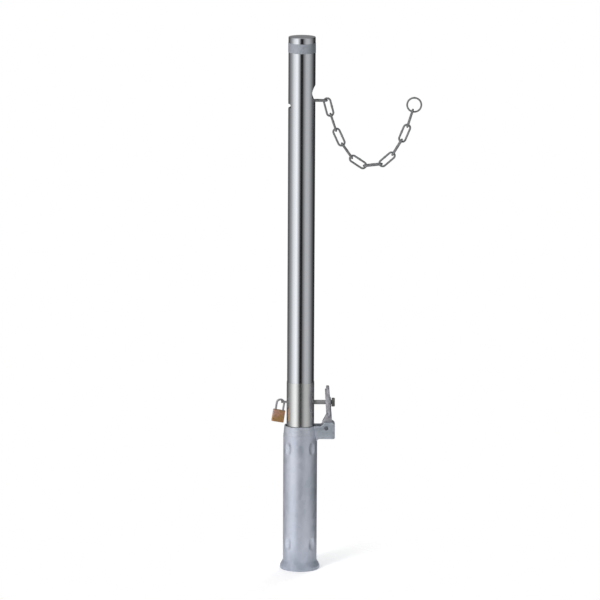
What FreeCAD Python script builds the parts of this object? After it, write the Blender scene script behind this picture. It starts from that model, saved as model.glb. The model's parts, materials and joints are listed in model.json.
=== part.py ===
import FreeCAD, Part
import os
from math import atan, cos, radians, sin, sqrt

# A lift-out parking bollard. A stainless post stands in a ground sleeve, and a pin and a padlock
# lock it to the sleeve's open lid. Its chain is drawn out through a hole near the top.
# Millimetres. Origin at the middle of the sleeve's foot, +Z up, +X towards the lid and the chain.

# Ground sleeve
sleeve_gap = 4.35
sleeve_wall = 2.8
sleeve_depth = 330.0
foot_spread = 6.6
foot_rim_spare = 1.8
foot_flare_height = 12.0
foot_bend_radius = 4.0
dimple_width = 18.0
dimple_length_radius = 22.0
dimples_below_spigot = 0.6
lower_dimples_above_foot = 60.0
dimples_in_a_row = 4
guide_clearance = 0.3

# Base plate inside the foot, which the post stands on
base_plate_thickness = 3.2
base_plate_recess = 2.0
base_plate_clearance = 0.1
drain_diameter = 20.0

# Cast head of the sleeve, with the lid's forked lug
head_height = 26.0
head_bore_clearance = 2.0
head_mouth_chamfer = 1.0
head_rim_radius = 1.0
head_taper = 2.2
head_spigot_depth = 10.0
head_spigot_clearance = 0.2
lug_beyond_hinge = 19.2
lug_cheek = 7.8
lug_above_mouth = 8.5
lug_floor = 15.0
lug_gusset_radius = 5.0
lug_top_corner = 8.0
lug_low_corner = 3.0
lug_edge_radius = 1.5
lug_end_wall = 5.5
lug_slot_width = 18.4
lug_slot_spare = 1.4

# Lid and its hinge
hinge_beyond_sleeve = 20.35
hinge_below_mouth = 4.6
hinge_pin_diameter = 8.0
hinge_pin_proud = 1.2
pin_clearance = 0.05
lid_inset = 2.15
lid_thickness = 7.0
lid_edge_radius = 2.0
lid_spigot_clearance = 4.0
lid_spigot_height = 3.0
lid_opening_angle = 86.5
lid_side_clearance = 0.3
knuckle_wall = 4.5
strap_rise = 2.0
strap_toe = 20.0
boss_wall = 3.75
lid_hole_play = 2.25
boss_clearance = 0.3

# Post
post_diameter = 60.5
post_wall = 2.0
post_height = 880.0
cap_thickness = 3.0
cap_edge_radius = 1.2
cap_skirt_depth = 14.0
cap_skirt_wall = 2.0
cap_clearance = 0.1
tape_below_top = 13.4
tape_width = 21.5
tape_thickness = 0.4
band_above_mouth = 100.0
band_wall = 0.7
skin_clearance = 0.05
outlet_diameter = 40.0
outlet_below_top = 126.5
catch_slot_length = 36.0
catch_slot_height = 10.0
catch_slot_below_top = 154.2

# Lock pin
lock_pin_diameter = 10.0
lock_pin_above_mouth = 52.5
lock_pin_hole_clearance = 0.5
lock_pin_head_diameter = 20.0
lock_pin_head_thickness = 7.4
lock_pin_head_chamfer = 1.2
lock_pin_head_beyond_hinge = 11.5
tab_thickness = 3.0
tab_end_wall = 2.3
tab_hole_play = 1.55
tab_hole_from_post = 6.4

# Padlock
padlock_leg_wall = 3.25
padlock_height = 26.5
padlock_thickness = 13.0
padlock_corner_radius = 2.5
padlock_edge_chamfer = 0.7
padlock_tilt = 9.0
padlock_drop = 2.8
shackle_wire = 4.5
shackle_spacing = 16.5
shackle_rise = 16.0
heel_depth = 18.0
toe_depth = 7.0
leg_clearance = 0.1
blind_hole_spare = 0.5
plug_diameter = 8.0
plug_length = 14.0
keyway_width = 1.4
keyway_height = 5.5
keyway_depth = 9.0

# Chain
chain_wire = 4.5
link_inner_length = 36.0
link_width = 19.0
link_clearance = 0.3
outlet_link_overhang = 27.6
free_links = 10
inner_links = 7
catenary_length = 46.8
lowest_link = 5.857
ring_diameter = 35.5
ring_wire = 4.0
anchor_bar_diameter = 6.0
anchor_bar_clearance = 0.05

# Levels and radii that several pieces share
mouth_z = sleeve_depth
top_z = mouth_z + post_height
post_r = post_diameter / 2
post_bore_r = post_r - post_wall
post_foot_z = base_plate_recess + base_plate_thickness
post_top_z = top_z - cap_thickness
band_inner_r = post_r + skin_clearance
band_r = band_inner_r + band_wall
sleeve_bore_r = band_r + sleeve_gap
sleeve_r = sleeve_bore_r + sleeve_wall
sleeve_top_z = mouth_z - head_height
foot_r = sleeve_r + foot_spread
foot_bore_r = foot_r - sleeve_wall
head_bore_r = band_r + head_bore_clearance
lock_pin_z = mouth_z + lock_pin_above_mouth
lock_pin_r = lock_pin_diameter / 2
lock_hole_r = lock_pin_r + lock_pin_hole_clearance
outlet_z = top_z - outlet_below_top
outlet_r = outlet_diameter / 2
hinge_from_axis = sleeve_r + hinge_beyond_sleeve
hinge_z = mouth_z - hinge_below_mouth
hinge_bore_r = hinge_pin_diameter / 2 + pin_clearance
knuckle_r = hinge_pin_diameter / 2 + knuckle_wall
lug_reach = hinge_from_axis + lug_beyond_hinge
lug_width = lug_slot_width + 2 * lug_cheek
lug_slot_depth = hinge_below_mouth + knuckle_r + lug_slot_spare
lock_pin_head_from_axis = hinge_from_axis + lock_pin_head_beyond_hinge
tab_hole_r = shackle_wire / 2 + tab_hole_play
shackle_x = -band_r - tab_hole_from_post
bow_r = shackle_spacing / 2
# The bow leans in the tab's hole, so the hole sits over the wire's place just above the tab's middle
bow_x = shackle_x - sqrt(bow_r ** 2 - (padlock_drop + tab_thickness / 4) ** 2)
bow_z = lock_pin_z - padlock_drop

X = FreeCAD.Vector(1, 0, 0)
Y = FreeCAD.Vector(0, 1, 0)
Z = FreeCAD.Vector(0, 0, 1)


def point(x, y, z):
    return FreeCAD.Vector(x, y, z)


def section(points):
    """Flat face in the XZ plane. A point ends a straight line, and a pair is an arc's middle and its end."""
    edges = []
    here = points[0]
    for step in points[1:] + [points[0]]:
        if isinstance(step[0], tuple):
            middle, end = step
            stations = [point(x, 0, z) for x, z in (here, middle, end)]
            edges.append(Part.Arc(*stations).toShape())
            here = end
        elif step != here:
            edges.append(Part.makeLine(point(here[0], 0, here[1]), point(step[0], 0, step[1])))
            here = step
    return Part.Face(Part.Wire(edges))


def turned(points):
    """Solid of revolution about the post's axis."""
    return section(points).revolve(point(0, 0, 0), Z, 360)


def plate(points, width):
    """Section in the XZ plane, as thick as width and centred on Y = 0."""
    face = section(points)
    face.translate(Y * (-width / 2))
    return face.extrude(Y * width)


def rod(radius, start, end):
    return Part.makeCylinder(radius, (end - start).Length, start, end - start)


def cross_bore(radius, x, z, length):
    """Cylinder along Y, centred on Y = 0."""
    return rod(radius, point(x, -length / 2, z), point(x, length / 2, z))


def bend(radius, start, heading, centre, axis, turn):
    """Round wire that leaves start along heading and turns about centre."""
    face = Part.Face(Part.Wire(Part.makeCircle(radius, start, heading)))
    return face.revolve(centre, axis, turn)


def tube(outer_r, inner_r, low, high):
    return turned([(inner_r, low), (outer_r, low), (outer_r, high), (inner_r, high)])


def circle_edges(solid, radius, z):
    """Full circles about the post's axis with this radius at this height."""
    found = []
    for edge in solid.Edges:
        if isinstance(edge.Curve, Part.Circle) and abs(edge.Curve.Center.z - z) < 0.01:
            if abs(edge.Curve.Radius - radius) < 0.01 and edge.Curve.Center.sub(Z * z).Length < 0.01:
                found.append(edge)
    return found


def dimple(radius, angle, z):
    """Ring whose rim presses a dimple into the sleeve's wall from outside."""
    wire_r = dimple_width / 2
    deepest = band_r + guide_clearance + sleeve_wall
    centre = deepest + dimple_length_radius
    ring = Part.makeTorus(dimple_length_radius - wire_r, radius, point(centre, 0, z), Y)
    ring.rotate(point(0, 0, 0), Z, angle)
    return ring


def dimple_levels():
    """Heights of the two rows: just under the head's spigot, and above the flared foot."""
    inner_r = dimple_length_radius + sleeve_wall
    depth = sleeve_gap - guide_clearance
    half_length = sqrt(inner_r ** 2 - (inner_r - depth) ** 2)
    return sleeve_top_z - head_spigot_depth - dimples_below_spigot - half_length, lower_dimples_above_foot


def ground_sleeve():
    foot_rim_height = post_foot_z + foot_rim_spare
    flare_z = foot_rim_height + foot_flare_height
    pipe = turned([
        (foot_bore_r, 0),
        (foot_r, 0),
        (foot_r, foot_rim_height),
        (sleeve_r, flare_z),
        (sleeve_r, sleeve_top_z),
        (sleeve_bore_r, sleeve_top_z),
        (sleeve_bore_r, flare_z),
        (foot_bore_r, foot_rim_height),
    ])
    bends = []
    for radius, z in ((foot_r, foot_rim_height), (sleeve_r, flare_z)):
        bends += circle_edges(pipe, radius, z) + circle_edges(pipe, radius - sleeve_wall, z)
    pipe = pipe.makeFillet(foot_bend_radius, bends)
    envelope = Part.makeCylinder(sleeve_r, sleeve_top_z)
    for z in dimple_levels():
        for place in range(dimples_in_a_row):
            angle = (place + 0.5) * 360 / dimples_in_a_row
            pipe = pipe.fuse(dimple(dimple_width / 2 + sleeve_wall, angle, z).common(envelope))
            pipe = pipe.cut(dimple(dimple_width / 2, angle, z))
    return pipe


def base_plate():
    return tube(foot_bore_r - base_plate_clearance, drain_diameter / 2, base_plate_recess, post_foot_z)


def head_ring():
    mouth_r = sleeve_r - head_taper
    spigot_r = sleeve_bore_r - head_spigot_clearance
    ring = turned([
        (head_bore_r, sleeve_top_z - head_spigot_depth),
        (spigot_r, sleeve_top_z - head_spigot_depth),
        (spigot_r, sleeve_top_z),
        (sleeve_r, sleeve_top_z),
        (mouth_r, mouth_z),
        (head_bore_r + head_mouth_chamfer, mouth_z),
        (head_bore_r, mouth_z - head_mouth_chamfer),
    ])
    return ring.makeFillet(head_rim_radius, circle_edges(ring, mouth_r, mouth_z))


def hinge_lug():
    """Lug with a rounded outer end, reaching under the head's ring for its full width."""
    inside = sqrt(head_bore_r ** 2 - (lug_width / 2) ** 2)
    low = mouth_z - lug_slot_depth - lug_floor
    high = mouth_z + lug_above_mouth
    gusset_x = sleeve_r + lug_gusset_radius
    diagonal = 1 - sqrt(0.5)
    lug = plate([
        (inside, low - lug_gusset_radius),
        (sleeve_r, low - lug_gusset_radius),
        ((sleeve_r + lug_gusset_radius * diagonal, low - lug_gusset_radius * diagonal), (gusset_x, low)),
        (lug_reach - lug_low_corner, low),
        ((lug_reach - lug_low_corner * diagonal, low + lug_low_corner * diagonal),
         (lug_reach, low + lug_low_corner)),
        (lug_reach, high - lug_top_corner),
        ((lug_reach - lug_top_corner * diagonal, high - lug_top_corner * diagonal),
         (lug_reach - lug_top_corner, high)),
        (sleeve_r + 2 * lug_above_mouth, high),
        (sleeve_r + lug_above_mouth, mouth_z),
        (inside, mouth_z),
    ], lug_width)
    sides = [edge for edge in lug.Edges if abs(abs(edge.CenterOfMass.y) - lug_width / 2) < 0.01
             and edge.BoundBox.XMin > sleeve_r]
    return lug.makeFillet(lug_edge_radius, sides)


def sleeve_head():
    bore = Part.makeCylinder(head_bore_r, mouth_z)
    pipe = Part.makeCylinder(sleeve_r + head_spigot_clearance, sleeve_top_z)
    slot_length = lug_reach - lug_end_wall
    slot = Part.makeBox(slot_length, lug_slot_width, lug_slot_depth + lug_above_mouth,
                        point(0, -lug_slot_width / 2, mouth_z - lug_slot_depth))
    head = head_ring().fuse(hinge_lug().cut(bore).cut(pipe))
    return head.cut(slot).cut(cross_bore(hinge_bore_r, hinge_from_axis, hinge_z, lug_width))


def lid_hinge_pin():
    length = lug_width + 2 * hinge_pin_proud
    pin = cross_bore(hinge_pin_diameter / 2, hinge_from_axis, hinge_z, length)
    return pin.makeChamfer(hinge_pin_proud / 2, [e for e in pin.Edges if isinstance(e.Curve, Part.Circle)])


def lid():
    """Lid in its closed place over the mouth, turned about its hinge to where it stands open."""
    lean = radians(90 - lid_opening_angle)
    top = mouth_z + lid_thickness
    disc_r = sleeve_r - lid_inset
    spigot_r = head_bore_r - lid_spigot_clearance
    hole_r = lock_pin_r + lid_hole_play
    boss_r = hole_r + boss_wall
    arm_width = lug_slot_width - 2 * lid_side_clearance
    hole_reach = (lock_pin_z - hinge_z - (hinge_below_mouth + lid_thickness / 2) * sin(lean)) / cos(lean)
    hole_x = hinge_from_axis - hole_reach
    face_at_pin = lock_pin_head_from_axis - boss_clearance - hinge_from_axis
    boss_top = hinge_z + (face_at_pin + (hole_reach - boss_r) * sin(lean)) / cos(lean)

    spigot_low = mouth_z - lid_spigot_height
    disc = Part.makeCylinder(disc_r, lid_thickness, Z * mouth_z)
    disc = disc.makeFillet(lid_edge_radius, circle_edges(disc, disc_r, top))
    spigot = Part.makeCylinder(spigot_r, lid_spigot_height, Z * spigot_low)
    arm = plate([
        (hinge_from_axis, hinge_z - knuckle_r),
        (hinge_from_axis, hinge_z + knuckle_r),
        (hinge_from_axis - knuckle_r, top + strap_rise),
        (spigot_r, top + strap_rise),
        (-strap_toe, top),
        (-strap_toe, mouth_z),
        (spigot_r, spigot_low),
        (hinge_from_axis - knuckle_r - hinge_below_mouth, hinge_z - knuckle_r),
    ], arm_width)
    knuckle = cross_bore(knuckle_r, hinge_from_axis, hinge_z, arm_width)
    boss = Part.makeCylinder(boss_r, boss_top - mouth_z, point(hole_x, 0, mouth_z))
    hole = Part.makeCylinder(hole_r, boss_top - spigot_low, point(hole_x, 0, spigot_low))
    solid = disc.multiFuse([spigot, arm, knuckle, boss]).cut(hole)
    solid = solid.cut(cross_bore(hinge_bore_r, hinge_from_axis, hinge_z, arm_width)).removeSplitter()
    solid.rotate(point(hinge_from_axis, 0, hinge_z), Y, lid_opening_angle)
    return solid


def lock_hole():
    return rod(lock_hole_r, point(-sleeve_r, 0, lock_pin_z), point(sleeve_r, 0, lock_pin_z))


def catch_slot():
    """Level slot through the wall on the side away from the chain."""
    end_r = catch_slot_height / 2
    reach = catch_slot_length / 2 - end_r
    z = top_z - catch_slot_below_top
    corner = point(-post_diameter, -reach, z - end_r)
    slot = Part.makeBox(post_diameter, 2 * reach, catch_slot_height, corner)
    for y in (-reach, reach):
        slot = slot.fuse(rod(end_r, point(-post_diameter, y, z), point(0, y, z)))
    return slot


def post_tube():
    outlet = rod(outlet_r, point(0, 0, outlet_z), point(post_diameter, 0, outlet_z))
    shell = tube(post_r, post_bore_r, post_foot_z, post_top_z)
    return shell.cut(outlet).cut(catch_slot()).cut(lock_hole())


def post_cap():
    skirt_r = post_bore_r - cap_clearance
    skirt_low = post_top_z - cap_skirt_depth
    cap = turned([
        (0, post_top_z),
        (skirt_r - cap_skirt_wall, post_top_z),
        (skirt_r - cap_skirt_wall, skirt_low),
        (skirt_r, skirt_low),
        (skirt_r, post_top_z),
        (post_r, post_top_z),
        (post_r, top_z),
        (0, top_z),
    ])
    return cap.makeFillet(cap_edge_radius, circle_edges(cap, post_r, top_z))


def reflective_tape():
    inner_r = post_r + skin_clearance
    high = top_z - tape_below_top
    return tube(inner_r + tape_thickness, inner_r, high - tape_width, high)


def base_band():
    return tube(band_r, band_inner_r, post_foot_z, mouth_z + band_above_mouth).cut(lock_hole())


def lock_pin():
    """Headed pin along X, flattened and drilled at the padlock's end."""
    tip_x = shackle_x - tab_hole_r - tab_end_wall
    head_x = lock_pin_head_from_axis
    axis = Z * lock_pin_z
    shank = rod(lock_pin_r, axis + X * tip_x, axis + X * head_x)
    head = rod(lock_pin_head_diameter / 2, axis + X * head_x, axis + X * (head_x + lock_pin_head_thickness))
    rims = [e for e in head.Edges if isinstance(e.Curve, Part.Circle)]
    pin = shank.fuse(head.makeChamfer(lock_pin_head_chamfer, rims))
    tab_length = -band_r - tip_x
    for side in (-1, 1):
        flat = Part.makeBox(tab_length, lock_pin_diameter, lock_pin_diameter)
        flat.translate(point(tip_x, -lock_pin_r, lock_pin_z - lock_pin_r))
        flat.translate(Z * (side * (tab_thickness / 2 + lock_pin_r)))
        pin = pin.cut(flat)
    hole_centre = point(shackle_x, 0, lock_pin_z - lock_pin_r)
    return pin.cut(Part.makeCylinder(tab_hole_r, lock_pin_diameter, hole_centre))


def hung(shape):
    """Place a padlock piece, modelled upright about the middle of its shackle's bow."""
    shape.rotate(point(0, 0, 0), Y, padlock_tilt)
    shape.translate(point(bow_x, 0, bow_z))
    return shape


def padlock_shackle():
    wire_r = shackle_wire / 2
    heel = rod(wire_r, X * -bow_r, point(-bow_r, 0, -shackle_rise - heel_depth))
    toe = rod(wire_r, X * bow_r, point(bow_r, 0, -shackle_rise - toe_depth))
    bow = bend(wire_r, X * bow_r, Z, point(0, 0, 0), Y * -1, 180)
    return hung(bow.multiFuse([heel, toe]).removeSplitter())


def padlock_body():
    low = -shackle_rise - padlock_height
    width = shackle_spacing + shackle_wire + 2 * padlock_leg_wall
    block = Part.makeBox(width, padlock_thickness, padlock_height,
                         point(-width / 2, -padlock_thickness / 2, low))
    corners = [e for e in block.Edges if abs(e.tangentAt(e.FirstParameter).z) > 0.99]
    block = block.makeFillet(padlock_corner_radius, corners)
    rims = [e for e in block.Edges if abs(e.BoundBox.ZLength) < 0.01]
    block = block.makeChamfer(padlock_edge_chamfer, rims)
    leg_r = shackle_wire / 2 + leg_clearance
    for x, depth in ((-bow_r, heel_depth), (bow_r, toe_depth)):
        mouth = point(x, 0, -shackle_rise)
        block = block.cut(rod(leg_r, mouth, mouth - Z * (depth + blind_hole_spare)))
    bore_depth = plug_length + blind_hole_spare
    plug_bore = Part.makeCylinder(plug_diameter / 2 + pin_clearance, bore_depth, Z * low)
    return hung(block.cut(plug_bore))


def padlock_plug():
    low = -shackle_rise - padlock_height
    plug = Part.makeCylinder(plug_diameter / 2, plug_length, Z * low)
    keyway = Part.makeBox(keyway_width, keyway_height, keyway_depth,
                          point(-keyway_width / 2, -keyway_height / 2, low))
    return hung(plug.cut(keyway))


def link(start, end, flat_on):
    """Welded chain link between two hinge points, lying in the XZ plane if flat_on, else across it."""
    wire_r = chain_wire / 2
    end_r = (link_width - chain_wire) / 2
    half_leg = (link_inner_length - (link_width - 2 * chain_wire)) / 2
    pieces = []
    for side in (-1, 1):
        corner = point(side * half_leg, -side * end_r, 0)
        pieces.append(bend(wire_r, corner, X * side, X * (side * half_leg), Z, 180))
        pieces.append(rod(wire_r, point(-half_leg, side * end_r, 0), point(half_leg, side * end_r, 0)))
    loop = pieces[0].multiFuse(pieces[1:]).removeSplitter()
    if flat_on:
        loop.rotate(point(0, 0, 0), X, 90)
    run = end - start
    loop.Placement = FreeCAD.Placement(point(0, 0, 0), FreeCAD.Rotation(X, run)).multiply(loop.Placement)
    loop.translate((start + end) / 2)
    return loop


def hinge_span(flat_on):
    """Distance between a link's two hinge points, which lie in the wire of the links set across."""
    across = link_inner_length + chain_wire
    return across - 2 * (chain_wire + link_clearance) if flat_on else across


def outlet_link_points():
    """The first link lies across the outlet, its two legs on the hole's lower lip."""
    leg_y = (link_width - chain_wire) / 2
    drop = sqrt((outlet_r - chain_wire / 2 - link_clearance) ** 2 - leg_y ** 2)
    outer = point(post_r + outlet_link_overhang - chain_wire / 2, 0, outlet_z - drop)
    return outer - X * hinge_span(False), outer


def free_chain_points():
    """Hinge points of the drawn-out chain, which hangs in a catenary from the outlet to the ring."""
    points = [outlet_link_points()[1]]
    for number in range(1, free_links + 2):
        slope = atan((number - lowest_link) * link_inner_length / catenary_length)
        heading = point(cos(slope), 0, sin(slope))
        span = hinge_span(number % 2 == 1)
        if number > free_links:
            span = (ring_diameter - chain_wire) / 2 - ring_wire - link_clearance
        points.append(points[-1] + heading * span)
    return points


def inner_chain_points():
    """Hinge points of the chain inside the post, hanging straight from the outlet link."""
    points = [outlet_link_points()[0]]
    for number in range(1, inner_links + 1):
        points.append(points[-1] - Z * hinge_span(number % 2 == 1))
    return points


def inner_chain():
    points = inner_chain_points()
    links = [link(points[n], points[n + 1], n % 2 == 0) for n in range(inner_links)]
    return Part.makeCompound(links)


def chain_anchor_bar():
    """Round bar across the post, through the inner chain's last link."""
    end = inner_chain_points()[-1] + Z * ((anchor_bar_diameter - chain_wire) / 2)
    bar = cross_bore(anchor_bar_diameter / 2, end.x, end.z, post_diameter)
    bore = Part.makeCylinder(post_bore_r - anchor_bar_clearance, post_top_z)
    return bar.common(bore)


def chain_ring(points):
    return Part.makeTorus((ring_diameter - ring_wire) / 2, ring_wire / 2, points[-1], Y)


def all_nodes():
    nodes = {
        "ground_sleeve": ground_sleeve(),
        "base_plate": base_plate(),
        "sleeve_head": sleeve_head(),
        "lid_hinge_pin": lid_hinge_pin(),
        "lid": lid(),
        "post_tube": post_tube(),
        "post_cap": post_cap(),
        "reflective_tape": reflective_tape(),
        "base_band": base_band(),
        "lock_pin": lock_pin(),
        "padlock_shackle": padlock_shackle(),
        "padlock_body": padlock_body(),
        "padlock_plug": padlock_plug(),
        "chain_outlet_link": link(*outlet_link_points(), False),
        "inner_chain": inner_chain(),
        "chain_anchor_bar": chain_anchor_bar(),
    }
    points = free_chain_points()
    for number in range(1, free_links + 1):
        nodes[f"chain_link_{number:02d}"] = link(points[number - 1], points[number], number % 2 == 1)
    nodes["chain_ring"] = chain_ring(points)
    return nodes


os.makedirs("parts", exist_ok=True)
for name, shape in all_nodes().items():
    shape.exportStep(f"parts/{name}.step")
    print(name, len(shape.Solids), shape.isValid(), round(shape.Volume))
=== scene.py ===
import json
import math
import bmesh
import bpy
from mathutils import Matrix, Vector

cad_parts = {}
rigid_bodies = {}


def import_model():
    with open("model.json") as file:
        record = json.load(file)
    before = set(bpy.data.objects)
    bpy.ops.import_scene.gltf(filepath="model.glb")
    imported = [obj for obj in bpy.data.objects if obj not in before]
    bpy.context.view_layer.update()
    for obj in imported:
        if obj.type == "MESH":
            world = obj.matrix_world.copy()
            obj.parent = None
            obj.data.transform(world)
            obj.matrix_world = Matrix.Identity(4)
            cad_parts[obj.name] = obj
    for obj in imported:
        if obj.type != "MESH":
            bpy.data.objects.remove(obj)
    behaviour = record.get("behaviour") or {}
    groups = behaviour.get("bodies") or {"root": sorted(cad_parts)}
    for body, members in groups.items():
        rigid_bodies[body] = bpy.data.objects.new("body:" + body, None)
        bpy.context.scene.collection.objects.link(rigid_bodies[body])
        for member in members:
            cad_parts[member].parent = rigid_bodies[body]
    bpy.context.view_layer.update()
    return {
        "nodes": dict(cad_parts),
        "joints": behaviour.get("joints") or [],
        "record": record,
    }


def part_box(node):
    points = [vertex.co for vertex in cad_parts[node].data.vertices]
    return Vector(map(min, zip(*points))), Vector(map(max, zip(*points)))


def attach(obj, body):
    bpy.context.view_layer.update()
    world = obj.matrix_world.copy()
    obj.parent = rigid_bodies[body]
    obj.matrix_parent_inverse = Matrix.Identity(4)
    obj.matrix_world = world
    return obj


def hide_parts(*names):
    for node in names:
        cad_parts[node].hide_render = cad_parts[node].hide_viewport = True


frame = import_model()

nodes = frame["nodes"]
mm = 0.001
samePoint = 1e-7    # metres
loosePoint = 1e-6


def srgb(red, green, blue):
    # a colour as a picture editor shows it, 0 to 255
    parts = [c / 255 for c in (red, green, blue)]
    return tuple(c / 12.92 if c < 0.04045 else ((c + 0.055) / 1.055) ** 2.4 for c in parts) + (1.0,)


# Node building, for finishes and for geometry trees

class Sock:
    def __init__(self, builder, socket):
        self.builder = builder
        self.socket = socket

    def calc(self, operation, *others):
        return self.builder.maths(operation, self, *others)

    def __add__(self, other):
        return self.calc("ADD", other)

    def __sub__(self, other):
        return self.calc("SUBTRACT", other)

    def __rsub__(self, other):
        return self.builder.maths("SUBTRACT", other, self)

    def __mul__(self, other):
        return self.calc("MULTIPLY", other)

    def __truediv__(self, other):
        return self.calc("DIVIDE", other)

    def __rtruediv__(self, other):
        return self.builder.maths("DIVIDE", other, self)

    def __mod__(self, other):
        return self.calc("FLOORED_MODULO", other)

    def __gt__(self, other):
        return self.calc("GREATER_THAN", other)

    def __lt__(self, other):
        return self.calc("LESS_THAN", other)

    def __abs__(self):
        return self.calc("ABSOLUTE")

    __radd__ = __add__
    __rmul__ = __mul__


class Builder:
    def __init__(self, tree):
        self.tree = tree

    def node(self, kind, settings=None, sockets=None):
        # settings come first, because some of them change which sockets there are
        made = self.tree.nodes.new(kind)
        for key, value in (settings or {}).items():
            if key == "stops":
                self.setStops(made.color_ramp, value)
            else:
                setattr(made, key, value)
        for key, value in (sockets or {}).items():
            if isinstance(key, int):
                target = made.inputs[key]
            else:
                target = next(s for s in made.inputs if s.enabled and s.name == key)
            if isinstance(value, Sock):
                self.tree.links.new(value.socket, target)
            else:
                target.default_value = value
        return {out.name: Sock(self, out) for out in made.outputs if out.enabled}

    def setStops(self, ramp, stops):
        while len(ramp.elements) < len(stops):
            ramp.elements.new(0.5)
        for element, (place, level) in zip(ramp.elements, stops):
            element.position = place
            element.color = (level, level, level, 1.0)

    def maths(self, operation, *values):
        return self.node("ShaderNodeMath", {"operation": operation}, dict(enumerate(values)))["Value"]

    def vectorMaths(self, operation, *values, result="Vector"):
        return self.node("ShaderNodeVectorMath", {"operation": operation}, dict(enumerate(values)))[result]

    def split(self, vector):
        parts = self.node("ShaderNodeSeparateXYZ", None, {"Vector": vector})
        return parts["X"], parts["Y"], parts["Z"]

    def join(self, x, y, z):
        return self.node("ShaderNodeCombineXYZ", None, {"X": x, "Y": y, "Z": z})["Vector"]


class Finish(Builder):
    def __init__(self, name):
        self.material = bpy.data.materials.new(name)
        self.material.use_nodes = True
        super().__init__(self.material.node_tree)
        self.tree.nodes.clear()

    def place(self, source="Object"):
        return self.node("ShaderNodeTexCoord")[source]

    def stretched(self, vector, scale):
        return self.node("ShaderNodeMapping", None, {"Vector": vector, "Scale": scale})["Vector"]

    def noise(self, vector, scale, detail=3.0, roughness=0.5):
        sockets = {"Vector": vector, "Scale": scale, "Detail": detail, "Roughness": roughness}
        return self.node("ShaderNodeTexNoise", None, sockets)["Fac"]

    def cells(self, vector, scale):
        # one random number for each cell
        colour = self.node("ShaderNodeTexVoronoi", None, {"Vector": vector, "Scale": scale})["Color"]
        return self.node("ShaderNodeSeparateColor", None, {"Color": colour})["Red"]

    def steps(self, value, stops):
        return self.node("ShaderNodeValToRGB", {"stops": stops}, {"Fac": value})["Color"]

    def limited(self, value):
        return self.node("ShaderNodeClamp", None, {"Value": value})["Result"]

    def colourMix(self, factor, first, second):
        sockets = {"Factor": factor, "A": first, "B": second}
        return self.node("ShaderNodeMix", {"data_type": "RGBA"}, sockets)["Result"]

    def bump(self, height, strength, distance):
        sockets = {"Height": height, "Strength": strength, "Distance": distance}
        return self.node("ShaderNodeBump", None, sockets)["Normal"]

    def surface(self, sockets):
        shader = self.node("ShaderNodeBsdfPrincipled", None, sockets)["BSDF"]
        self.node("ShaderNodeOutputMaterial", None, {"Surface": shader})
        return self.material


# Finishes

def darkerEnds(made, look, place, shade, colour):
    # some pieces are darker towards their ends, set by position along x
    if "endsFrom" not in look:
        return colour
    x = made.split(place)[0]
    outward = made.limited((abs(x - look["endsMiddle"]) - look["endsFrom"]) / look["endsBlend"])
    return made.colourMix(outward, colour, made.colourMix(shade, look["endsDark"], look["endsLight"]))


def shadedFoot(made, look, place, shade, colour):
    # near the ground the zinc is less metallic and its colour is painted darker, as painted shade: gives its
    # colour and how metallic it is
    if "footTop" not in look:
        return colour, look["metal"]
    z = made.split(place)[2]
    share = made.limited((look["footTop"] - z) / look["footBlend"])
    shadeGrey = made.colourMix(shade, look["footShadeDark"], look["footShadeLight"])
    metal = look["metal"] - share * (look["metal"] - look["footMetal"])
    return made.colourMix(share, colour, shadeGrey), metal


def drawnSteel(name, look):
    # metal with fine lines along one way, faint smudges and a little change of gloss
    made = Finish(name)
    place = made.place()
    lines = made.noise(made.stretched(place, look["lines"]), 1.0, 4.0, 0.6)
    smudge = made.noise(place, look["smudge"], 4.0)
    shade = made.limited(lines * 0.5 + smudge * 0.5)
    colour = made.colourMix(shade, look["dark"], look["light"])
    gloss = look["rough"] + (smudge - 0.5) * look["roughSpread"] + (lines - 0.5) * look["lineRough"]
    return made.surface({
        "Base Color": darkerEnds(made, look, place, shade, colour),
        "Metallic": look["metal"],
        "Roughness": made.limited(gloss),
        "Normal": made.bump(lines, look["bump"], fineRelief),
    })


def galvanised(name, look):
    # zinc coat with crystals, pale clouds and a slightly orange-peel skin
    made = Finish(name)
    place = made.place()
    crystal = made.cells(made.stretched(place, look["crystalStretch"]), look["crystal"])
    cloud = made.noise(made.stretched(place, look["cloud"]), 1.0, 5.0, 0.6)
    skin = made.noise(place, look["skin"], 4.0, 0.6)
    clouded = (cloud - 0.5) * look["cloudContrast"] + 0.5
    shade = made.limited(clouded + (crystal - 0.5) * look["crystalShare"])
    patches = made.noise(place, look["bloom"], 3.0)
    bloom = made.limited((patches - look["bloomFrom"]) * look["bloomContrast"])
    colour = made.colourMix(shade, look["dark"], look["light"])
    colour = made.colourMix(bloom * look["bloomShare"], colour, look["pale"])
    colour, metal = shadedFoot(made, look, place, shade, darkerEnds(made, look, place, shade, colour))
    gloss = look["rough"] + (crystal - 0.5) * look["crystalGloss"] + (cloud - 0.5) * look["cloudGloss"]
    return made.surface({
        "Base Color": colour,
        "Metallic": metal,
        "Roughness": made.limited(gloss),
        "Normal": made.bump(skin + crystal * look["crystalRise"], look["bump"], look["relief"]),
    })


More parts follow.
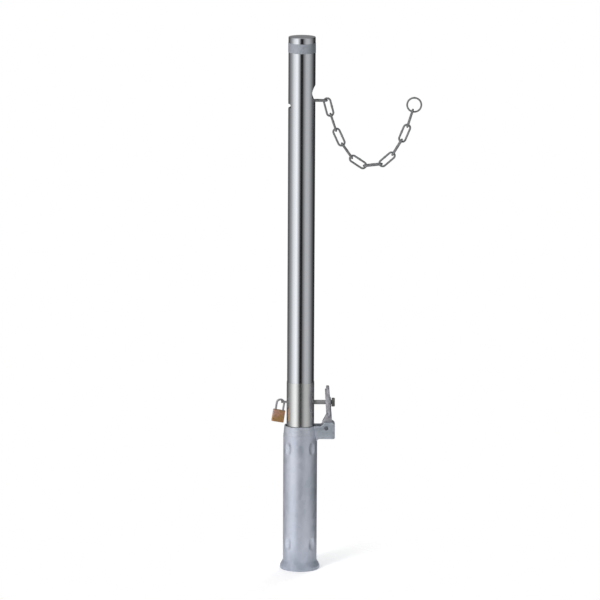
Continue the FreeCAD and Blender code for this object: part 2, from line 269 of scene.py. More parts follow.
def dullBrass(name, look):
    # cast brass gone brown, with darker pits, redder patches and one upper corner paler
    made = Finish(name)
    place = made.place()
    # one upper corner is paler, fading with distance from a given point
    away = made.vectorMaths("DISTANCE", place, look["paleCornerAt"], result="Value")
    paleCorner = made.limited(1 - away / look["paleCornerReach"])
    pits = made.limited((made.noise(place, look["pits"], 4.0, 0.65) - look["pitsFrom"]) * look["pitsContrast"])
    patch = made.limited((made.noise(place, look["patch"], 3.0) - look["patchFrom"]) * look["patchContrast"])
    brush = made.noise(made.stretched(place, look["brush"]), 1.0, 3.0)
    colour = made.colourMix(patch, look["brown"], look["red"])
    colour = made.colourMix(made.limited(brush * look["brushShare"]), colour, look["light"])
    colour = made.colourMix(paleCorner, colour, look["paleCorner"])
    gloss = look["rough"] + (pits - 0.5) * look["pitsGloss"] + (brush - 0.5) * look["brushGloss"]
    return made.surface({
        "Base Color": made.colourMix(pits * look["pitsShare"], colour, look["dark"]),
        "Metallic": look["metal"],
        "Roughness": made.limited(gloss),
        "Normal": made.bump(brush - pits, look["bump"], look["relief"]),
    })


def reflectiveTape(name, look):
    # honeycomb of sealed cells under a clear film, on the tape's own unrolled map
    made = Finish(name)
    u, v = made.split(made.place("UV"))[:2]
    cell = look["cell"]
    tall = cell * math.sqrt(3)
    near = []
    for shift in (0.0, 0.5):
        x = abs((u / cell + shift) % 1.0 - 0.5) * cell
        y = abs((v / tall + shift) % 1.0 - 0.5) * tall
        near.append(x.calc("MAXIMUM", x * 0.5 + y * (math.sqrt(3) / 2)))
    toEdge = cell / 2 - near[0].calc("MINIMUM", near[1])
    wallMask = made.limited(1 - toEdge / look["seal"])
    dust = made.noise(made.place(), look["dust"], 5.0, 0.6)
    dusty = made.limited((dust - 0.5) * look["dustContrast"] + 0.5)
    colour = made.colourMix(dusty, look["dark"], look["light"])
    gloss = look["rough"] + wallMask * look["sealGloss"] + (dust - 0.5) * look["dustGloss"]
    return made.surface({
        "Base Color": made.colourMix(wallMask * look["sealShare"], colour, look["sealColour"]),
        "Metallic": look["metal"],
        "Roughness": made.limited(gloss),
        "Normal": made.bump(1 - wallMask, look["bump"], fineRelief),
        "Coat Weight": look["coat"],
        "Coat Roughness": look["coatRough"],
    })


fineRelief = 0.05 * mm    # depth of drawn lines and of the tape's seals
upright = (700.0, 700.0, 6.0)
around = (10.0, 10.0, 900.0)
evenly = (500.0, 500.0, 500.0)

steelLooks = {
    "polishedSteel": dict(
        dark=srgb(198, 201, 206), light=srgb(212, 215, 220), lines=upright, smudge=9.0,
        rough=0.13, roughSpread=0.08, lineRough=0.05, bump=0.05, metal=1.0,
    ),
    "satinSteel": dict(
        dark=srgb(200, 202, 202), light=srgb(220, 221, 220), lines=around, smudge=14.0,
        rough=0.24, roughSpread=0.1, lineRough=0.08, bump=0.08, metal=1.0,
    ),
    "platedSteel": dict(
        dark=srgb(134, 135, 136), light=srgb(174, 175, 175), lines=evenly, smudge=90.0,
        rough=0.5, roughSpread=0.2, lineRough=0.1, bump=0.1, metal=0.55,
        endsMiddle=14.0 * mm, endsFrom=50.0 * mm, endsBlend=4.0 * mm,
        endsDark=srgb(112, 112, 108), endsLight=srgb(156, 156, 150),
    ),
    "darkSteel": dict(
        dark=srgb(92, 95, 103), light=srgb(132, 135, 143), lines=evenly, smudge=120.0,
        rough=0.5, roughSpread=0.15, lineRough=0.1, bump=0.1, metal=0.6,
    ),
    "shackleSteel": dict(
        dark=srgb(140, 141, 146), light=srgb(188, 188, 192), lines=evenly, smudge=120.0,
        rough=0.4, roughSpread=0.15, lineRough=0.1, bump=0.1, metal=0.75,
    ),
    "chainSteel": dict(
        dark=srgb(128, 129, 131), light=srgb(168, 169, 170), lines=evenly, smudge=160.0,
        rough=0.5, roughSpread=0.16, lineRough=0.1, bump=0.1, metal=0.85,
    ),
}
zincLook = dict(
    cloudContrast=1.6, bloomFrom=0.52, bloomContrast=6.0, bloomShare=0.3,
    crystalGloss=0.12, cloudGloss=0.2, crystalRise=0.15,
)
galvanisedLook = dict(
    zincLook,
    dark=srgb(182, 191, 203), light=srgb(215, 218, 230), pale=srgb(224, 226, 235),
    crystal=110.0, crystalStretch=(1.0, 1.0, 0.7), crystalShare=0.35, cloud=(30.0, 30.0, 9.0), bloom=9.0,
    skin=420.0, metal=0.72, rough=0.5, bump=0.15, relief=0.1 * mm,
    # near the foot: less metal, and darker colours that are painted shade
    footTop=60.0 * mm, footBlend=42.0 * mm, footMetal=0.35,
    footShadeDark=srgb(142, 150, 163), footShadeLight=srgb(182, 188, 200),
)
castLook = dict(
    zincLook,
    dark=srgb(190, 198, 209), light=srgb(222, 225, 235), pale=srgb(230, 232, 239),
    crystal=260.0, crystalStretch=(1.0, 1.0, 1.0), crystalShare=0.5, cloud=(60.0, 60.0, 60.0), bloom=25.0,
    skin=520.0, metal=0.82, rough=0.55, bump=0.3, relief=0.2 * mm,
    endsMiddle=-20.0 * mm, endsFrom=54.0 * mm, endsBlend=8.0 * mm,
    endsDark=srgb(176, 186, 196), endsLight=srgb(210, 216, 225),
)
lidTones = dict(endsDark=srgb(166, 166, 172), endsLight=srgb(206, 206, 212), crystalShare=0.7)
brassLook = dict(
    brown=srgb(186, 146, 84), red=srgb(212, 152, 122), light=srgb(204, 170, 124), dark=srgb(92, 62, 42),
    # the paler upper corner: its colour, its centre and how far it reaches
    paleCorner=srgb(222, 178, 162), paleCornerAt=(-0.0590, -0.0065, 0.3615), paleCornerReach=16.0 * mm,
    pits=240.0, pitsFrom=0.42, pitsContrast=3.0, pitsShare=0.6, pitsGloss=0.25,
    patch=110.0, patchFrom=0.42, patchContrast=5.0,
    brush=(900.0, 900.0, 60.0), brushShare=0.6, brushGloss=0.1,
    metal=0.6, rough=0.45, bump=0.25, relief=0.15 * mm,
)
tapeLook = dict(
    dark=srgb(136, 141, 149), light=srgb(162, 167, 174), sealColour=srgb(184, 188, 193),
    cell=2.6 * mm, seal=0.35 * mm, sealShare=0.45, sealGloss=0.2,
    dust=240.0, dustContrast=2.0, dustGloss=0.2,
    metal=0.35, rough=0.5, bump=0.3, coat=0.1, coatRough=0.3,
)

finishes = {name: drawnSteel(name, look) for name, look in steelLooks.items()}
finishes["galvanised"] = galvanised("galvanised", galvanisedLook)
finishes["castZinc"] = galvanised("castZinc", castLook)
finishes["lidZinc"] = galvanised("lidZinc", {**castLook, **lidTones})
finishes["dullBrass"] = dullBrass("dullBrass", brassLook)
finishes["reflectiveTape"] = reflectiveTape("reflectiveTape", tapeLook)
print("finishes", len(finishes))


# Mesh helpers

def addObject(name, data):
    made = bpy.data.objects.new(name, data)
    bpy.context.scene.collection.objects.link(made)
    return made


def meshFrom(name, work):
    mesh = bpy.data.meshes.new(name)
    work.to_mesh(mesh)
    work.free()
    return mesh


def applied(thing):
    # works the modifiers into the mesh
    graph = bpy.context.evaluated_depsgraph_get()
    old = thing.data
    thing.data = bpy.data.meshes.new_from_object(thing.evaluated_get(graph), depsgraph=graph)
    thing.modifiers.clear()
    bpy.data.meshes.remove(old)
    return thing


def smoothed(mesh, degrees):
    mesh.shade_smooth()
    mesh.set_sharp_from_angle(angle=math.radians(degrees))


def crisply(thing, degrees):
    # smooth edges, while large faces keep their own shading
    smoothed(thing.data, degrees)
    weigh = thing.modifiers.new("weigh", "WEIGHTED_NORMAL")
    weigh.keep_sharp = True
    return applied(thing)


def placed(thing, body, slot, material, *stoodFor):
    # hands a finished piece to its body, in place of its CAD nodes
    thing.data.materials.clear()
    thing.data.materials.append(finishes[material])
    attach(thing, body)
    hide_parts(*stoodFor)
    print("piece", thing.name, len(thing.data.polygons))
    return thing


def roundedSection(corners, steps=6):
    # closed outline of (radius, height, corner radius), with its corners as arcs
    outline = []
    for index, (radius, height, corner) in enumerate(corners):
        here = Vector((radius, height))
        if corner == 0:
            outline.append(here)
            continue
        before = Vector(corners[index - 1][:2]) - here
        after = Vector(corners[(index + 1) % len(corners)][:2]) - here
        before.normalize()
        after.normalize()
        half = before.angle(after) / 2
        centre = here + (before + after).normalized() * (corner / math.sin(half))
        first = here + before * (corner / math.tan(half)) - centre
        last = here + after * (corner / math.tan(half)) - centre
        turn = first.angle_signed(last)
        for step in range(steps + 1):
            angle = -turn * step / steps
            outline.append(centre + Matrix.Rotation(angle, 2) @ first)
    return outline


def hoopSection(inner, outer, low, high, edge, steps):
    # a flat hoop, rounded along its two outer edges
    corners = [(inner, low, 0), (outer, low, edge), (outer, high, edge), (inner, high, 0)]
    return roundedSection(corners, steps)


def lathe(outline, steps, closed=True):
    # turns an outline of (radius, height) about the post's axis
    work = bmesh.new()
    rings = []
    for step in range(steps):
        angle = 2 * math.pi * step / steps
        c, s = math.cos(angle), math.sin(angle)
        rings.append([work.verts.new((p[0] * c, p[0] * s, p[1])) for p in outline])
    spans = len(outline) if closed else len(outline) - 1
    for step in range(steps):
        here, after = rings[step], rings[(step + 1) % steps]
        for n in range(spans):
            m = (n + 1) % len(outline)
            work.faces.new((here[n], after[n], after[m], here[m]))
    bmesh.ops.remove_doubles(work, verts=work.verts, dist=samePoint)
    bmesh.ops.recalc_face_normals(work, faces=work.faces)
    return work


def cylinderAlong(start, end, radius, steps=64):
    work = bmesh.new()
    run = Vector(end) - Vector(start)
    turn = run.to_track_quat("Z", "Y").to_matrix().to_4x4()
    middle = Matrix.Translation((Vector(start) + Vector(end)) / 2)
    bmesh.ops.create_cone(
        work, cap_ends=True, segments=steps, radius1=radius, radius2=radius,
        depth=run.length, matrix=middle @ turn,
    )
    return work


def cutFrom(thing, cutters):
    for number, work in enumerate(cutters):
        tool = addObject(f"cutter{number}", meshFrom(f"cutter{number}", work))
        cut = thing.modifiers.new("cut", "BOOLEAN")
        cut.object = tool
        cut.operation = "DIFFERENCE"
        cut.solver = "EXACT"
        applied(thing)
        bpy.data.objects.remove(tool)
    return thing


def joinedRims(thing, lowest, highest, reach):
    # joins up points that the cuts left close together
    work = bmesh.new()
    work.from_mesh(thing.data)
    rims = [vert for vert in work.verts if lowest < vert.co.z < highest]
    bmesh.ops.remove_doubles(work, verts=rims, dist=reach)
    work.to_mesh(thing.data)
    work.free()
    return thing


def softenEdges(thing, width, degrees=50, segments=2):
    bevel = thing.modifiers.new("edges", "BEVEL")
    bevel.limit_method = "ANGLE"
    bevel.angle_limit = math.radians(degrees)
    bevel.width = width
    bevel.segments = segments
    bevel.use_clamp_overlap = True
    return applied(thing)


def cadCopy(name, node):
    # a node's shape with its loose triangles joined up
    work = bmesh.new()
    work.from_mesh(nodes[node].data)
    bmesh.ops.remove_doubles(work, verts=work.verts, dist=loosePoint)
    bmesh.ops.dissolve_degenerate(work, edges=work.edges, dist=samePoint)
    return addObject(name, meshFrom(name, work))


root = frame["joints"][0]["parent"]
bodyOf = {node: body for body, members in frame["record"]["behaviour"]["bodies"].items() for node in members}


# Post: tube, cap, tape and base band; sharpFrom is the angle in degrees from which an edge stays sharp

post = dict(
    steps=192,
    wall=2.0 * mm,
    endRound=0.4 * mm,
    outletRadius=20.0 * mm,
    outletBelowTop=126.5 * mm,
    outletSteps=96,
    slotLength=36.0 * mm,
    slotHeight=10.0 * mm,
    slotBelowTop=154.2 * mm,
    slotSteps=24,
    holeEdge=0.25 * mm,
    rimJoin=0.35 * mm,
    lockHoleRadius=5.5 * mm,
    sharpFrom=50,
)
cap = dict(
    edge=1.2 * mm, edgeSteps=8, seam=0.25 * mm, sharpFrom=35,
    skirtDepth=14.0 * mm, skirtWall=2.0 * mm, skirtGap=0.1 * mm,
)
tape = dict(steps=200, overlap=9.0 * mm, lift=0.25 * mm, edge=0.15 * mm, edgeSteps=3, sharpFrom=35)
band = dict(steps=192, edge=0.3 * mm, edgeSteps=3, rimJoin=0.1 * mm, sharpFrom=35)

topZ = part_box("post_cap")[1].z
jointPlace = {j["name"]: Vector(j["pos_m"]) for j in frame["joints"] if "pos_m" in j}
lockZ = jointPlace["lock_pin_turn"].z


def lockHoles():
    reach = 3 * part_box("base_band")[1].x
    return cylinderAlong((-reach, 0, lockZ), (reach, 0, lockZ), post["lockHoleRadius"])


def slotCutter():
    # stadium through the wall on the side away from the chain
    endRadius = post["slotHeight"] / 2
    reach = post["slotLength"] / 2 - endRadius
    outer = -2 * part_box("post_tube")[1].x
    height = topZ - post["slotBelowTop"]
    steps = post["slotSteps"]
    rim = []
    for side in (1, -1):
        for step in range(steps + 1):
            angle = math.pi * step / steps - side * math.pi / 2
            rim.append((side * reach + endRadius * math.cos(angle), height + endRadius * math.sin(angle)))
    work = bmesh.new()
    near = [work.verts.new((0.0, y, z)) for y, z in rim]
    far = [work.verts.new((outer, y, z)) for y, z in rim]
    work.faces.new(near)
    work.faces.new(far)
    for n in range(len(rim)):
        m = (n + 1) % len(rim)
        work.faces.new((near[n], near[m], far[m], far[n]))
    bmesh.ops.recalc_face_normals(work, faces=work.faces)
    return work


def makePost():
    low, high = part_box("post_tube")
    outer, inner = high.x, high.x - post["wall"]
    edge = post["endRound"]
    outline = roundedSection([
        (inner, low.z, edge),
        (outer, low.z, edge),
        (outer, high.z, 0),
        (inner, high.z, 0),
    ])
    tube = addObject("postTube", meshFrom("postTube", lathe(outline, post["steps"])))
    outletZ = topZ - post["outletBelowTop"]
    outlet = cylinderAlong((0, 0, outletZ), (3 * outer, 0, outletZ), post["outletRadius"], post["outletSteps"])
    cutFrom(tube, [outlet, slotCutter(), lockHoles()])
    joinedRims(tube, low.z + 2 * edge, high.z - edge, post["rimJoin"])
    softenEdges(tube, post["holeEdge"])
    crisply(tube, post["sharpFrom"])
    placed(tube, root, "polished_steel", "polishedSteel", "post_tube")


def makeCap():
    low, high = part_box("post_cap")
    outer = high.x
    skirt = outer - post["wall"] - cap["skirtGap"]
    under = low.z + cap["skirtDepth"]
    outline = roundedSection([
        (0, high.z, 0),
        (outer, high.z, cap["edge"]),
        (outer, under, cap["seam"]),
        (skirt, under, 0),
        (skirt, low.z, 0),
        (skirt - cap["skirtWall"], low.z, 0),
        (skirt - cap["skirtWall"], under, 0),
        (0, under, 0),
    ], cap["edgeSteps"])
    top = addObject("postCap", meshFrom("postCap", lathe(outline, post["steps"], closed=False)))
    crisply(top, cap["sharpFrom"])
    placed(top, root, "polished_steel", "polishedSteel", "post_cap")


def makeTape():
    # one strip round the post, its last end lapped over its first at the back
    low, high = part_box("reflective_tape")
    outer = high.x
    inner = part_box("post_tube")[1].x
    section = hoopSection(inner, outer, low.z, high.z, tape["edge"], tape["edgeSteps"])
    work = bmesh.new()
    mapLayer = work.loops.layers.uv.new("unrolled")
    wholeTurn = 2 * math.pi
    lap = tape["overlap"] / outer
    rings = []
    for step in range(tape["steps"] + 1):
        travel = (wholeTurn + lap) * (step / tape["steps"])
        angle = math.pi / 2 + travel
        past = max(0.0, (travel - wholeTurn + lap) / (2 * lap))
        rise = (outer - inner + tape["lift"]) * min(1.0, past * 2) ** 2    # climbs before the lap
        c, s = math.cos(angle), math.sin(angle)
        rings.append([work.verts.new(((p[0] + rise) * c, (p[0] + rise) * s, p[1])) for p in section])
    for here, after in zip(rings, rings[1:]):
        for n in range(len(section)):
            m = (n + 1) % len(section)
            work.faces.new((here[n], after[n], after[m], here[m]))
    work.faces.new(rings[0])
    work.faces.new(rings[-1])
    bmesh.ops.recalc_face_normals(work, faces=work.faces)
    for face in work.faces:
        for loop in face.loops:
            spot = loop.vert.co
            loop[mapLayer].uv = (math.atan2(spot.y, spot.x) * outer, spot.z)
    strip = addObject("tapeStrip", meshFrom("tapeStrip", work))
    crisply(strip, tape["sharpFrom"])
    placed(strip, root, "reflective_tape", "reflectiveTape", "reflective_tape")


def makeBand():
    low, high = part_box("base_band")
    outer, inner = high.x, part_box("post_tube")[1].x
    edge = band["edge"]
    outline = hoopSection(inner, outer, low.z, high.z, edge, band["edgeSteps"])
    cuff = addObject("baseBand", meshFrom("baseBand", lathe(outline, band["steps"])))
    cutFrom(cuff, [lockHoles()])
    joinedRims(cuff, low.z + 2 * edge, high.z - 2 * edge, band["rimJoin"])
    crisply(cuff, band["sharpFrom"])
    placed(cuff, root, "satin_steel", "satinSteel", "base_band")


makePost()
makeCap()
makeTape()
makeBand()
print("post done")


# Ground sleeve with its pressed dimples, weld, head, lid and base plate

sleeve = dict(
    steps=240,
    wall=2.8 * mm,
    pipeRadius=38.15 * mm,
    rimHeight=7.0 * mm,
    flareHeight=12.0 * mm,
    bend=4.0 * mm,
    rimRound=0.8 * mm,
    dimpleDepth=4.05 * mm,
    dimpleHalfWidth=9.0 * mm,
    dimpleLengthRadius=22.0 * mm,
    dimpleSoftness=1.2 * mm,
    dimpleLevels=(279.8 * mm, 60.0 * mm),
    dimplesInRow=4,
    fineStep=1.2 * mm,
    fineReach=17.0 * mm,
    shortRun=20.0 * mm,    # runs under this get no more points
    runMargin=1.0 * mm,
    sharpFrom=40,
)
weld = dict(reach=6.0 * mm, rise=0.15 * mm, depth=0.3 * mm, steps=24)
casting = dict(voxel=0.75 * mm, rounds=12, share=0.6)
basePlate = dict(edge=0.3 * mm, sharpFrom=50)


def dimpleDepth(angle, height):
    # how far the wall is pressed in, with soft edges
    half, length, softness = (sleeve["dimple" + key] for key in ("HalfWidth", "LengthRadius", "Softness"))
    nearest = min(sleeve["dimpleLevels"], key=lambda level: abs(level - height))
    pitch = 2 * math.pi / sleeve["dimplesInRow"]
    across = min(abs(angle % pitch - pitch / 2) * sleeve["pipeRadius"], half)
    along = min(abs(height - nearest), length)
    fallAcross = half - math.sqrt(half ** 2 - across ** 2)
    fallAlong = length - math.sqrt(length ** 2 - along ** 2)
    depth = (sleeve["dimpleDepth"] - fallAcross - fallAlong) / softness
    return softness * math.log1p(math.exp(depth))


def splitRuns(outline):
    # more points up the wall where the dimples are
    count = int(sleeve["fineReach"] / sleeve["fineStep"])
    heights = set()
    for level in sleeve["dimpleLevels"]:
        heights.update(level + k * sleeve["fineStep"] for k in range(-count, count + 1))
    finer = []
    for n, here in enumerate(outline):
        finer.append(here)
        after = outline[(n + 1) % len(outline)]
        lowest, highest = min(here.y, after.y), max(here.y, after.y)
        if highest - lowest < sleeve["shortRun"]:
            continue
        inside = [z for z in heights if lowest + sleeve["runMargin"] < z < highest - sleeve["runMargin"]]
        for z in sorted(inside, reverse=after.y < here.y):
            finer.append(here.lerp(after, (z - here.y) / (after.y - here.y)))
    return finer


def makeSleeve():
    low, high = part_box("ground_sleeve")
    foot, pipe, wall = high.x, sleeve["pipeRadius"], sleeve["wall"]
    flareTop = sleeve["rimHeight"] + sleeve["flareHeight"]
    bend, rim = sleeve["bend"], sleeve["rimRound"]
    outline = roundedSection([
        (foot - wall, low.z, rim),
        (foot, low.z, rim),
        (foot, sleeve["rimHeight"], bend),
        (pipe, flareTop, bend),
        (pipe, high.z, rim),
        (pipe - wall, high.z, 0),
        (pipe - wall, flareTop, bend),
        (foot - wall, sleeve["rimHeight"], bend),
    ])
    work = lathe(splitRuns(outline), sleeve["steps"])
    for vert in work.verts:
        spot = vert.co
        if spot.z > flareTop + bend:
            radius = math.hypot(spot.x, spot.y)
            inset = dimpleDepth(math.atan2(spot.y, spot.x), spot.z)
            spot.xy = spot.xy * ((radius - inset) / radius)
    pipeMesh = addObject("groundSleeve", meshFrom("groundSleeve", work))
    smoothed(pipeMesh.data, sleeve["sharpFrom"])
    placed(pipeMesh, root, "galvanised", "galvanised", "ground_sleeve")


def makeWeld():
    # zinc-filled weld between pipe and head, a low bulge round the pipe
    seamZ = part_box("ground_sleeve")[1].z
    reach, steps = weld["reach"], weld["steps"]
    inner = sleeve["pipeRadius"] - weld["depth"]
    outline = [Vector((inner, seamZ + reach)), Vector((inner, seamZ - reach))]
    for step in range(1, steps):
        along = 2 * step / steps - 1
        bulge = (1 + math.cos(math.pi * along)) / 2
        outline.append(Vector((inner + (weld["depth"] + weld["rise"]) * bulge, seamZ + reach * along)))
    bead = addObject("headWeld", meshFrom("headWeld", lathe(outline, sleeve["steps"])))
    bead.data.shade_smooth()
    bead.data.materials.append(finishes["galvanised"])
    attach(bead, root)


def makeCasting(name, node, finish):
    # the node's form with the softened edges of a zinc-coated casting
    shape = cadCopy(name, node)
    remesh = shape.modifiers.new("skin", "REMESH")
    remesh.mode = "VOXEL"
    remesh.voxel_size = casting["voxel"]
    settle = shape.modifiers.new("settle", "SMOOTH")
    settle.factor = casting["share"]
    settle.iterations = casting["rounds"]
    applied(shape)
    shape.data.shade_smooth()
    placed(shape, bodyOf[node], "cast_galvanised", finish, node)


def makeBasePlate():
    disc = cadCopy("basePlate", "base_plate")
    softenEdges(disc, basePlate["edge"])
    crisply(disc, basePlate["sharpFrom"])
    placed(disc, root, "galvanised", "galvanised", "base_plate")


makeSleeve()
makeWeld()
makeCasting("sleeveHead", "sleeve_head", "castZinc")
makeCasting("sleeveLid", "lid", "lidZinc")
makeBasePlate()
print("sleeve done")


# Pins, anchor bar and padlock: the nodes' forms with joined, smoothed faces

hardware = dict(
    sharpFrom=32,
    pieces={    # node, slot and finish
        "hingePin": ("lid_hinge_pin", "plated_steel", "darkSteel"),
        "lockPin": ("lock_pin", "plated_steel", "platedSteel"),
        "anchorBar": ("chain_anchor_bar", "plated_steel", "platedSteel"),
        "padlockShackle": ("padlock_shackle", "shackle_steel", "shackleSteel"),
        "padlockBody": ("padlock_body", "brass", "dullBrass"),
        "padlockPlug": ("padlock_plug", "brass", "dullBrass"),
    },
)
for pieceName, (node, slot, material) in hardware["pieces"].items():
    piece = cadCopy(pieceName, node)
    crisply(piece, hardware["sharpFrom"])
    placed(piece, bodyOf[node], slot, material, node)
print("hardware done")


# Chain: one tree bends and welds a link, one sets it between two hinges, one hangs a row of them

chain = dict(
    swell=0.16,
    weldSpread=0.45,    # of the wire's thickness
    bendShare=0.4999,    # of the loop's width
    turnSteps=14,
    pathPoints=84,
    wireSides=18,
    innerLinks=7,
)


class GeoTree(Builder):
    def __init__(self, name, inputs):
        super().__init__(bpy.data.node_groups.new(name, "GeometryNodeTree"))
        panel = self.tree.interface
        self.ids = {}
        for label, kind in inputs.items():
            socket = panel.new_socket(name=label, in_out="INPUT", socket_type="NodeSocket" + kind)
            self.ids[label] = socket.identifier
        panel.new_socket(name="Geometry", in_out="OUTPUT", socket_type="NodeSocketGeometry")
        self.given = self.node("NodeGroupInput")

    def deliver(self, geometry):
        self.node("NodeGroupOutput", None, {"Geometry": geometry})

    def dressed(self, geometry):
        whole = self.node("GeometryNodeRealizeInstances", None, {"Geometry": geometry})["Geometry"]
        smooth = self.node("GeometryNodeSetShadeSmooth", None, {"Geometry": whole})["Geometry"]
        sockets = {"Geometry": smooth, "Material": self.given["Material"]}
        self.deliver(self.node("GeometryNodeSetMaterial", None, sockets)["Geometry"])


linkSizes = {"Inner Length": "Float", "Outer Width": "Float", "Wire": "Float", "Weld Swell": "Float"}


def linkLoopTree():
    # a closed wire loop lying flat, long along X, thicker where its ends are welded
    made = GeoTree("linkLoop", linkSizes)
    wire = made.given["Wire"]
    wide = made.given["Outer Width"] - wire
    sides = {"Width": made.given["Inner Length"] + wire, "Height": wide}
    path = made.node("GeometryNodeCurvePrimitiveQuadrilateral", {"mode": "RECTANGLE"}, sides)["Curve"]
    turns = {
        "Curve": path,
        "Count": chain["turnSteps"],
        "Radius": wide * chain["bendShare"],
        "Limit Radius": True,
    }
    path = made.node("GeometryNodeFilletCurve", {"mode": "POLY"}, turns)["Curve"]
    points = {"Curve": path, "Count": chain["pathPoints"]}
    path = made.node("GeometryNodeResampleCurve", {"mode": "COUNT"}, points)["Curve"]
    x, y = made.split(made.node("GeometryNodeInputPosition")["Position"])[:2]
    fromWeld = x / (wire * chain["weldSpread"])
    swell = 1 + made.given["Weld Swell"] * (fromWeld * fromWeld * -1).calc("EXPONENT") * (y > 0.0)
    ring = {"Resolution": chain["wireSides"], "Radius": wire * 0.5}
    profile = made.node("GeometryNodeCurvePrimitiveCircle", {"mode": "RADIUS"}, ring)["Curve"]
    sockets = {"Curve": path, "Profile Curve": profile, "Scale": swell}
    made.deliver(made.node("GeometryNodeCurveToMesh", None, sockets)["Mesh"])
    return made.tree


loopTree = linkLoopTree()


def loopIn(made):
    sockets = {label: made.given[label] for label in linkSizes}
    return made.node("GeometryNodeGroup", {"node_tree": loopTree}, sockets)["Geometry"]


def setLinkTree():
    # a link between two hinge points, in the chain's plane or across it
    inputs = {**linkSizes, "Start": "Vector", "End": "Vector", "Roll": "Float", "Material": "Material"}
    made = GeoTree("setLink", inputs)
    start, end = made.given["Start"], made.given["End"]
    run = made.vectorMaths("SUBTRACT", end, start)
    middle = made.vectorMaths("MULTIPLY", made.vectorMaths("ADD", start, end), (0.5, 0.5, 0.5))
    sockets = {"Rotation": made.join(made.given["Roll"], 0.0, 0.0), "Vector": run}
    turn = made.node("FunctionNodeAlignRotationToVector", {"axis": "X"}, sockets)["Rotation"]
    sockets = {"Geometry": loopIn(made), "Translation": middle, "Rotation": turn}
    made.dressed(made.node("GeometryNodeTransform", None, sockets)["Geometry"])
    return made


def hangingTree():
    # a row of links straight down, each a quarter turn from the one above
    inputs = {**linkSizes, "Top": "Vector", "Step": "Float", "Count": "Int", "Material": "Material"}
    made = GeoTree("hangingLinks", inputs)
    down = made.join(0.0, 0.0, made.given["Step"] * -1)
    sockets = {"Count": made.given["Count"], "Start Location": made.given["Top"], "Offset": down}
    row = made.node("GeometryNodeMeshLine", {"mode": "OFFSET"}, sockets)["Mesh"]
    stand = {"Geometry": loopIn(made), "Rotation": (math.pi / 2, math.pi / 2, 0.0)}
    stood = made.node("GeometryNodeTransform", None, stand)["Geometry"]
    number = made.node("GeometryNodeInputIndex")["Index"]
    turn = made.join(0.0, 0.0, number % 2.0 * (math.pi / 2))
    sockets = {"Points": row, "Instance": stood, "Rotation": turn}
    made.dressed(made.node("GeometryNodeInstanceOnPoints", None, sockets)["Instances"])
    return made


def grown(name, made, values):
    # runs a tree once and keeps its result as a plain mesh
    thing = addObject(name, bpy.data.meshes.new(name))
    modifier = thing.modifiers.new("tree", "NODES")
    modifier.node_group = made.tree
    for label, value in values.items():
        modifier[made.ids[label]] = value
    return applied(thing)


low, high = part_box("chain_outlet_link")
midway = (low + high) / 2
wire = high.z - low.z
linkSpec = {
    "Inner Length": high.x - low.x - 2 * wire,
    "Outer Width": high.y - low.y,
    "Wire": wire,
    "Weld Swell": chain["swell"],
    "Material": finishes["chainSteel"],
}
setLink = setLinkTree()


def makeLink(name, node, start, end, flat, spec):
    values = {**spec, "Start": start, "End": end, "Roll": math.pi / 2 if flat else 0.0}
    placed(grown(name, setLink, values), bodyOf[node], "chain_steel", "chainSteel", node)


hinges = [Vector(j["pos_m"]) for j in frame["joints"] if j["child"].startswith(("link_", "ring"))]
makeLink("outletLink", "chain_outlet_link", midway - (hinges[0] - midway), hinges[0], False, linkSpec)
for number, (start, end) in enumerate(zip(hinges, hinges[1:]), 1):
    flat = number % 2 == 1
    makeLink(f"chainLink{number:02d}", f"chain_link_{number:02d}", start, end, flat, linkSpec)

low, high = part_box("chain_ring")
ringCentre = (low + high) / 2
ringAcross, ringWire = high.x - low.x, high.y - low.y
ringSpec = {**linkSpec, "Inner Length": ringAcross - 2 * ringWire, "Outer Width": ringAcross, "Wire": ringWire}
aside = Vector((1, 0, 0))
makeLink("chainRing", "chain_ring", ringCentre - aside, ringCentre + aside, True, ringSpec)

low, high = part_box("inner_chain")
linkLength = linkSpec["Inner Length"] + 2 * wire
innerStep = (high.z - low.z - linkLength) / (chain["innerLinks"] - 1)
innerTop = Vector(((low.x + high.x) / 2, 0.0, high.z - linkLength / 2))
innerSpec = {**linkSpec, "Top": innerTop, "Step": innerStep, "Count": chain["innerLinks"]}
placed(grown("innerChain", hangingTree(), innerSpec), root, "chain_steel", "chainSteel", "inner_chain")
print("chain done")


# Stage: pale floor, reflection tent, soft lamps, camera

floor = dict(radius=0.4, steps=128, fadeFrom=0.12, fadeTo=0.75, colour=(0.8, 0.8, 0.8, 1.0), glow=0.28)
tent = dict(
    radius=2.4, low=-7.0, high=7.0, steps=96, peak=1.5,
    # degrees from the camera's side, positive to the right, and how bright the tent is there
    strips=(
        (-180, 0.26), (-158, 0.20), (-140, 0.10), (-118, 0.24), (-90, 0.54), (-66, 1.10), (-40, 1.45),
        (-24, 0.75), (-9, 0.03), (6, 0.01), (18, 0.30), (38, 0.68), (60, 0.68), (80, 0.44),
        (106, 0.14), (128, 0.02), (150, 0.05), (166, 0.20), (180, 0.26),
    ),
)
lamps = {
    "keyLamp": dict(place=(-2.6, -3.4, 2.2), size=1.4, watts=190.0, tint=(1.0, 0.97, 1.01)),
    "backLamp": dict(place=(1.6, 3.6, 2.2), size=1.6, watts=90.0, tint=(0.95, 0.98, 1.0)),
    "fillLamp": dict(place=(3.2, -2.6, 1.6), size=1.2, watts=14.0, tint=(0.7, 0.97, 1.0)),
    "topLamp": dict(place=(0.0, 0.6, 4.2), size=2.0, watts=35.0, tint=(1.0, 1.0, 1.0)),
}
lampAim = Vector((0.0, 0.0, 0.55))
sky = dict(colour=(1.0, 1.0, 1.0, 1.0), ambient=0.3)
camera = dict(place=(-0.002, -10.406, 2.666), tilt=11.145, roll=0.271, lens=284.4, sensor=36.0, reach=100.0)


def seenDirectly(made):
    # 1 for what the camera, metal or glass looks at, 0 for what only lights the object
    path = made.node("ShaderNodeLightPath")
    mirrored = path["Is Glossy Ray"].calc("MAXIMUM", path["Is Transmission Ray"])
    return path["Is Camera Ray"].calc("MAXIMUM", mirrored)


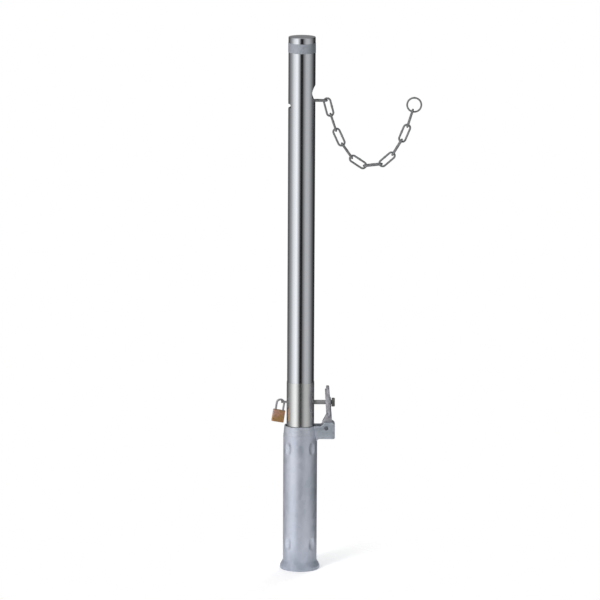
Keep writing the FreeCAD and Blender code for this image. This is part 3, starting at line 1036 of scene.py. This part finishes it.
def makeFloor():
    work = bmesh.new()
    bmesh.ops.create_circle(work, cap_ends=True, segments=floor["steps"], radius=floor["radius"])
    ground = addObject("floor", meshFrom("floor", work))
    made = Finish("floorPaper")
    x, y = made.split(made.place())[:2]
    away = (x * x + y * y).calc("SQRT") / floor["radius"]
    fade = made.limited((away - floor["fadeFrom"]) / (floor["fadeTo"] - floor["fadeFrom"]))
    paper = made.node("ShaderNodeBsdfDiffuse", None, {"Color": floor["colour"]})["BSDF"]
    glow = made.node("ShaderNodeEmission", None, {"Strength": seenDirectly(made) * floor["glow"]})["Emission"]
    lit = made.node("ShaderNodeAddShader", None, {0: paper, 1: glow})["Shader"]
    clear = made.node("ShaderNodeBsdfTransparent")["BSDF"]
    mixed = made.node("ShaderNodeMixShader", None, {0: fade, 1: lit, 2: clear})["Shader"]
    made.node("ShaderNodeOutputMaterial", None, {"Surface": mixed})
    ground.data.materials.append(made.material)


def makeTent():
    # seen only in polished metal: light and dark boards standing round the object
    work = bmesh.new()
    middle = Matrix.Translation((0, 0, (tent["high"] + tent["low"]) / 2))
    bmesh.ops.create_cone(
        work, cap_ends=False, segments=tent["steps"], radius1=tent["radius"], radius2=tent["radius"],
        depth=tent["high"] - tent["low"], matrix=middle,
    )
    walls = addObject("reflectionTent", meshFrom("reflectionTent", work))
    made = Finish("tentCloth")
    x, y = made.split(made.place())[:2]
    turn = x.calc("ARCTAN2", y * -1) / (2 * math.pi) + 0.5
    stops = [(angle / 360 + 0.5, bright / tent["peak"]) for angle, bright in tent["strips"]]
    sockets = {"Color": made.steps(turn, stops), "Strength": tent["peak"]}
    glow = made.node("ShaderNodeEmission", None, sockets)["Emission"]
    made.node("ShaderNodeOutputMaterial", None, {"Surface": glow})
    walls.data.materials.append(made.material)
    for way in ("camera", "diffuse", "shadow", "transmission", "volume_scatter"):
        setattr(walls, "visible_" + way, False)


def makeWorld():
    world = bpy.data.worlds.new("studio")
    world.use_nodes = True
    bpy.context.scene.world = world
    made = Builder(world.node_tree)
    made.tree.nodes.clear()
    strength = sky["ambient"] + seenDirectly(made) * (1 - sky["ambient"])
    sockets = {"Color": sky["colour"], "Strength": strength}
    white = made.node("ShaderNodeBackground", None, sockets)["Background"]
    made.node("ShaderNodeOutputWorld", None, {"Surface": white})


def makeLamps():
    for name, spec in lamps.items():
        lamp = bpy.data.lights.new(name, "AREA")
        lamp.shape = "DISK"
        lamp.size = spec["size"]
        lamp.energy = spec["watts"]
        lamp.color = spec["tint"]
        thing = addObject(name, lamp)
        thing.location = spec["place"]
        thing.visible_glossy = False
        thing.rotation_euler = (lampAim - thing.location).to_track_quat("-Z", "Y").to_euler()


def makeCamera():
    data = bpy.data.cameras.new("camera")
    data.lens = camera["lens"]
    data.sensor_width = camera["sensor"]
    data.clip_end = camera["reach"]
    thing = addObject("camera", data)
    level = Matrix.Rotation(math.radians(90 - camera["tilt"]), 4, "X")
    roll = Matrix.Rotation(math.radians(camera["roll"]), 4, "Z")
    thing.matrix_world = Matrix.Translation(camera["place"]) @ level @ roll
    bpy.context.scene.camera = thing


makeFloor()
makeTent()
makeWorld()
makeLamps()
makeCamera()
bpy.context.scene.view_settings.view_transform = "Standard"
print("stage done")
